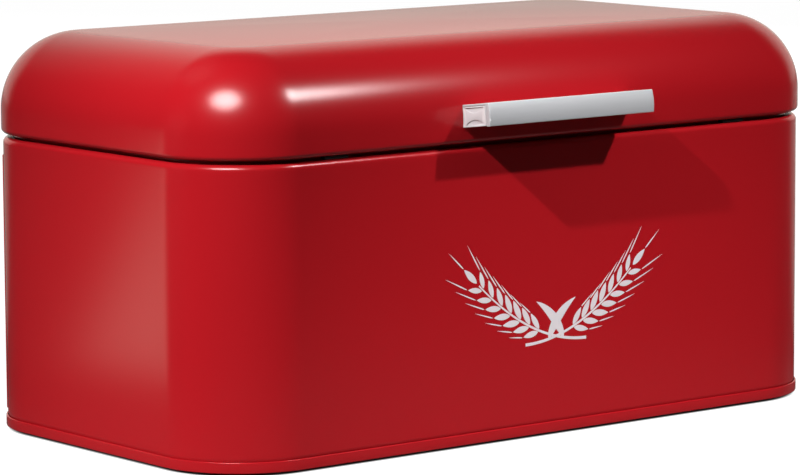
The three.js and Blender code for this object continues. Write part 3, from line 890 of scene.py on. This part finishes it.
def ribbon(points, widths):
    # A flat strip of changing width along its points
    left, right = [], []
    for at, point in enumerate(points):
        run = points[min(at + 1, len(points) - 1)] - points[max(at - 1, 0)]
        across = Vector((-run.y, run.x)).normalized() * widths[at] / 2
        left.append(point + across)
        right.append(point - across)
    return left, right


def pointed(start, turn, length, width, belly, bend=0):
    # A grain, awn or leaf: a strip that swells and comes to a point
    thin = ears["blunt"] * width
    points, widths = [start], [thin]
    for share in spread(0, 1, ears["steps"] + 1)[1:]:
        points.append(points[-1] + heading(turn + bend * share) * length / ears["steps"])
        swell = math.sin(math.pi * share ** (math.log(0.5) / math.log(belly))) ** ears["swell"]
        widths.append(max(width * swell, thin))
    return ribbon(points, widths)


def grainAndAwn(start, turn, awnTurn, size, awnSize):
    length = ears["grainLength"] * size
    tip = start + heading(turn) * (length + ears["awnGap"])
    return [
        pointed(start, turn, length, ears["grainWidth"] * size, ears["grainBelly"]),
        pointed(tip, awnTurn, ears["awnLength"] * awnSize, ears["awnWidth"], ears["awnBelly"]),
    ]


def earShapes():
    shares = spread(0, ears["stemEnd"], ears["stemSteps"])
    widths = [ears["stem"] * (ears["stemWide"] - ears["stemThin"] * share) for share in shares]
    shapes = [ribbon([stemPoint(share) for share in shares], widths)]
    lean, awnLean, splay = [math.radians(ears[key]) for key in ("grainLean", "awnLean", "grainSplay")]
    for along in spread(0, 1, ears["grainPairs"]):
        share = ears["earStart"] + (ears["earEnd"] - ears["earStart"]) * along
        size = 1 - ears["grainShrink"] * abs(along - ears["grainFullest"])
        awnSize = ears["awnShort"] + ears["awnGrowth"] * along
        middleTurn = stemTurn(share)
        for side in (-1, 1):
            turn = middleTurn + side * lean
            start = stemPoint(share) + heading(turn + side * splay) * ears["grainGap"]
            shapes += grainAndAwn(start, turn, middleTurn + side * awnLean, size, awnSize)
    turn = stemTurn(ears["stemEnd"])
    shapes += grainAndAwn(stemPoint(ears["endGrain"]), turn, turn, 1, 1)
    turn = stemTurn(ears["leafStart"]) + math.radians(ears["leafTurn"])
    shapes.append(pointed(stemPoint(ears["leafStart"]), turn, ears["leafLength"], ears["leafWidth"],
                          ears["leafBelly"], math.radians(ears["leafBend"])))
    return shapes


def frontOrnament():
    # Every shape is a thin closed plate, and the two ears lie one above the other where they cross
    points, faces = [], []
    across, up = ears["middle"]
    centre = Vector((middle.x + across, wallLow.y, rim + up))
    for mirror, level in ((1, 0), (-1, 2)):
        for order, (left, right) in enumerate(earShapes()):
            first, count = len(points), len(left)
            proud = ears["proud"] + (level + order % 2) * ears["layer"]
            for depth in (proud, -ears["sunk"]):
                points += [centre + Vector((mirror * p.x, -depth, p.y)) for p in left + right]
            top, bottom = first, first + 2 * count
            for at in range(count - 1):
                for base in (top, bottom):
                    faces.append((base + at, base + at + 1, base + count + at + 1, base + count + at))
                for edge in (0, count):
                    start = top + edge + at
                    faces.append((start, start + 1, start + 1 + 2 * count, start + 2 * count))
            for at in (0, count - 1):
                faces.append((top + at, top + count + at, bottom + count + at, bottom + at))
    fit(meshPiece("front_ornament", points, faces), "box", "pale_print")


frontOrnament()
print("ornament made")


# Camera

viewpoint = {
    "azimuth": -38.525, "elevation": 7.496, "roll": -0.313,  # degrees
    "distance": 1779.5 * mm, "lens": 181.26, "sensor": 36, "height": 80 * mm,
    "shiftRight": -3.916 * mm, "shiftUp": -5.146 * mm, "near": 50 * mm, "far": 50000 * mm,
}


def direction(azimuth, elevation):
    # Azimuths are degrees from the front, to the right, and elevations degrees above the floor
    azimuth, elevation = math.radians(azimuth), math.radians(elevation)
    return Vector((math.sin(azimuth) * math.cos(elevation),
                   -math.cos(azimuth) * math.cos(elevation), math.sin(elevation)))


def placeCamera():
    back = direction(viewpoint["azimuth"], viewpoint["elevation"])
    right = Vector((0, 0, 1)).cross(back).normalized()
    up = back.cross(right)
    roll = Matrix.Rotation(math.radians(viewpoint["roll"]), 3, back)
    right, up = roll @ right, roll @ up
    target = middle + Vector((0, 0, rim + viewpoint["height"]))
    target += right * viewpoint["shiftRight"] + up * viewpoint["shiftUp"]
    camera = addObject("camera", bpy.data.cameras.new("camera"))
    camera.data.lens = viewpoint["lens"]
    camera.data.sensor_width = viewpoint["sensor"]
    camera.data.clip_start = viewpoint["near"]
    camera.data.clip_end = viewpoint["far"]
    turn = Matrix((right, up, back)).transposed()
    camera.matrix_world = Matrix.Translation(target + back * viewpoint["distance"]) @ turn.to_4x4()
    bpy.context.scene.camera = camera


placeCamera()


# Light, floor and backdrop

# Crisp lamps light the paint and throw the shadows, and soft panels are what it mirrors.
# Distances and widths are in metres. A lamp with a cone, in degrees, is a soft-edged spot, turned
# to its aim in the box's own frame.
lamps = {
    "keyLamp": {
        "azimuth": 34, "elevation": 45, "distance": 2, "strength": 3.5, "width": 0.08,
        "cone": 15, "aim": (14 * mm, -92 * mm, -48 * mm),
    },
    "fillLamp": {
        "azimuth": -69.5, "elevation": 38.5, "distance": 2, "strength": 4.85, "width": 0.04,
        "cone": 16.5, "aim": (-70 * mm, -80 * mm, -24 * mm),
    },
    "sideLamp": {"azimuth": -112, "elevation": 8, "distance": 1.5, "strength": 0.19, "width": 0.5},
    "rearLamp": {"azimuth": 121, "elevation": 18, "distance": 2, "strength": 1.6, "width": 1},
    "topLamp": {"azimuth": -150, "elevation": 55, "distance": 2, "strength": 0.8, "width": 0.8},
    "keyPanel": {
        "azimuth": 20.6, "elevation": 44.5, "distance": 0.516, "strength": 1.85,
        "width": 0.095, "height": 0.107, "mirrored": True,
    },
    "fillPanel": {
        "azimuth": -59.2, "elevation": 44, "distance": 2.96, "strength": 6.4,
        "width": 1.5, "height": 1.216, "mirrored": True,
    },
}


def placeLamp(name, look):
    # Its strength is what reaches the object, in units where pi lights white to white
    data = bpy.data.lights.new(name, "SPOT" if "cone" in look else "AREA")
    data.energy = look["strength"] * math.pi * look["distance"] ** 2
    if "cone" in look:
        data.energy *= math.pi
        data.spot_size = math.radians(look["cone"])
        data.spot_blend = 1
        data.shadow_soft_size = look["width"] / 2
    else:
        data.shape = "ELLIPSE" if "height" in look else "DISK"
        data.size = look["width"]
        data.size_y = look.get("height", look["width"])
    lamp = addObject(name, data)
    centre = Vector((0, 0, viewpoint["height"]))
    place = centre + direction(look["azimuth"], look["elevation"]) * look["distance"]
    lamp.location = middle + Vector((0, 0, rim)) + place
    lamp.rotation_euler = (place - Vector(look.get("aim", centre))).to_track_quat("Z", "Y").to_euler()
    lamp.visible_camera = False
    lamp.visible_diffuse = "mirrored" not in look
    lamp.visible_glossy = "mirrored" in look


backdrop = {
    "azimuth": 142.5, "nearest": 0.001,
    "halfWidth": 1.2, "top": 0.8, "softSide": 0.25, "softTop": 0.25,  # per unit of distance
    "mirroredColor": (1, 0.96, 0.86, 1), "mirrored": 0.95, "room": 0.01, "onSurfaces": 0.045,
}
ground = {
    "size": 9, "color": (0.15, 0.147, 0.145, 1), "roughness": 0.9, "seen": 0.98, "mirrored": 0.33,
    # a painted contact shadow: the floor's glow is black this far under the box's outline and full this
    # far outside it
    "dark": -2.5 * mm, "bright": 0.7 * mm,  # from the box's outline, under which it is black
}
white = (1, 1, 1, 1)


def backdropMask(tree, place):
    # White where a place or direction lies in front of the backdrop, which stands behind the object
    forward = direction(backdrop["azimuth"], 0)
    side = Vector((forward.y, -forward.x, 0))
    forwardReach, sideReach, upReach = [
        vectorNode(tree, "DOT_PRODUCT", {0: place, 1: axis}, "Value")
        for axis in (forward, side, Vector((0, 0, 1)))
    ]
    ahead = mathNode(tree, "MAXIMUM", forwardReach, backdrop["nearest"])
    across = mathNode(tree, "ABSOLUTE", mathNode(tree, "DIVIDE", sideReach, ahead))
    above = mathNode(tree, "DIVIDE", upReach, ahead)
    fades = []
    for share, limit, soft in ((across, "halfWidth", "softSide"), (above, "top", "softTop")):
        fade = addNode(tree, "ShaderNodeMapRange", {"interpolation_type": "SMOOTHSTEP"}, {
            "Value": share,
            "From Min": backdrop[limit] + backdrop[soft],
            "From Max": backdrop[limit] - backdrop[soft],
        })
        fades.append(fade.outputs[0])
    return mathNode(tree, "MULTIPLY", *fades)


def footprint(tree, place):
    # Distance outside the box's round-cornered outline, below zero under the box, where the floor's
    # painted shadow lies
    core = Vector((halfWidth - shell["corner"], halfDepth - shell["corner"], 0))
    beside = vectorNode(tree, "ABSOLUTE", {0: vectorNode(tree, "SUBTRACT", {0: place, 1: middle})})
    past = vectorNode(tree, "SUBTRACT", {0: beside, 1: core})
    outside = vectorNode(tree, "MAXIMUM", {0: past, 1: (0, 0, 0)})
    return mathNode(tree, "SUBTRACT", vectorNode(tree, "LENGTH", {0: outside}, "Value"), shell["corner"])


def mirroredRay(tree, path):
    return mathNode(tree, "ADD", path.outputs["Is Glossy Ray"], path.outputs["Is Transmission Ray"], True)


def buildFloor():
    # It glows white to the camera except for a painted shadow, black under the box, and the paint mirrors
    # its glow
    mesh = bpy.data.meshes.new("floor")
    reach = ground["size"]
    corners = [(-reach, -reach, 0), (reach, -reach, 0), (reach, reach, 0), (-reach, reach, 0)]
    mesh.from_pydata(corners, [], [(0, 1, 2, 3)])
    material, shader = newMaterial("paleFloor")
    tree = material.node_tree
    shader.inputs["Base Color"].default_value = ground["color"]
    shader.inputs["Roughness"].default_value = ground["roughness"]
    shader.inputs["Specular IOR Level"].default_value = 0
    path = addNode(tree, "ShaderNodeLightPath")
    toCamera = path.outputs["Is Camera Ray"]
    place = addNode(tree, "ShaderNodeTexCoord").outputs["Object"]
    mask = mathNode(tree, "MULTIPLY", backdropMask(tree, place), mirroredRay(tree, path))
    mirrored = mathNode(tree, "MULTIPLY", mask, ground["mirrored"])
    # the glow to the camera, with the painted contact shadow under the box's edge
    glowWithPaintedShadow = addNode(tree, "ShaderNodeMapRange", {"interpolation_type": "SMOOTHSTEP"}, {
        "Value": footprint(tree, place),
        "From Min": ground["dark"], "From Max": ground["bright"], "To Max": ground["seen"],
    })
    seen = mathNode(tree, "MULTIPLY", toCamera, glowWithPaintedShadow.outputs[0])
    tint = addNode(tree, "ShaderNodeMix", {"data_type": "RGBA"}, {
        "Factor": toCamera, "A": backdrop["mirroredColor"], "B": white,
    })
    tree.links.new(tint.outputs["Result"], shader.inputs["Emission Color"])
    tree.links.new(mathNode(tree, "ADD", seen, mirrored), shader.inputs["Emission Strength"])
    mesh.materials.append(material)
    addObject("floor", mesh)


card = {
    "aside": 120 * mm, "corners": ((80 * mm, 3 * mm), (85 * mm, 140 * mm), (182 * mm, 3 * mm)),
    "color": (1, 0.93, 0.78, 1), "strength": 2,
}


def buildCard():
    # A small pale card beside the box, which only what mirrors sees
    mesh = bpy.data.meshes.new("card")
    x = wallLow.x - card["aside"]
    mesh.from_pydata([(x, middle.y + y, rim + z) for y, z in card["corners"]], [], [(0, 1, 2)])
    piece = addObject("card", mesh)
    for ray in ("camera", "diffuse", "transmission", "volume_scatter", "shadow"):
        setattr(piece, f"visible_{ray}", False)
    material, shader = newMaterial("paleCard")
    shader.inputs["Base Color"].default_value = (0, 0, 0, 1)
    shader.inputs["Emission Color"].default_value = card["color"]
    shader.inputs["Emission Strength"].default_value = card["strength"]
    mesh.materials.append(material)


def buildWorld():
    # The camera sees white, surfaces get a faint even light, and what mirrors sees the backdrop
    world = bpy.data.worlds.new("studio")
    bpy.context.scene.world = world
    world.use_nodes = True
    tree = world.node_tree
    tree.nodes.clear()
    path = addNode(tree, "ShaderNodeLightPath")
    place = addNode(tree, "ShaderNodeTexCoord").outputs["Generated"]
    shades = [(white, backdrop["onSurfaces"]), (white, backdrop["room"]),
              (backdrop["mirroredColor"], backdrop["mirrored"]), (white, 1)]
    onSurfaces, room, mirrored, seen = [
        addNode(tree, "ShaderNodeBackground", None, {"Color": color, "Strength": strength}).outputs[0]
        for color, strength in shades
    ]

    def mixed(share, first, second):
        return addNode(tree, "ShaderNodeMixShader", None, {0: share, 1: first, 2: second}).outputs[0]

    reflected = mixed(backdropMask(tree, place), room, mirrored)
    unseen = mixed(mirroredRay(tree, path), onSurfaces, reflected)
    addNode(tree, "ShaderNodeOutputWorld", None, {0: mixed(path.outputs["Is Camera Ray"], unseen, seen)})


for name, look in lamps.items():
    placeLamp(name, look)
buildFloor()
buildCard()
buildWorld()
bpy.context.scene.view_settings.view_transform = "Standard"
print("studio made")
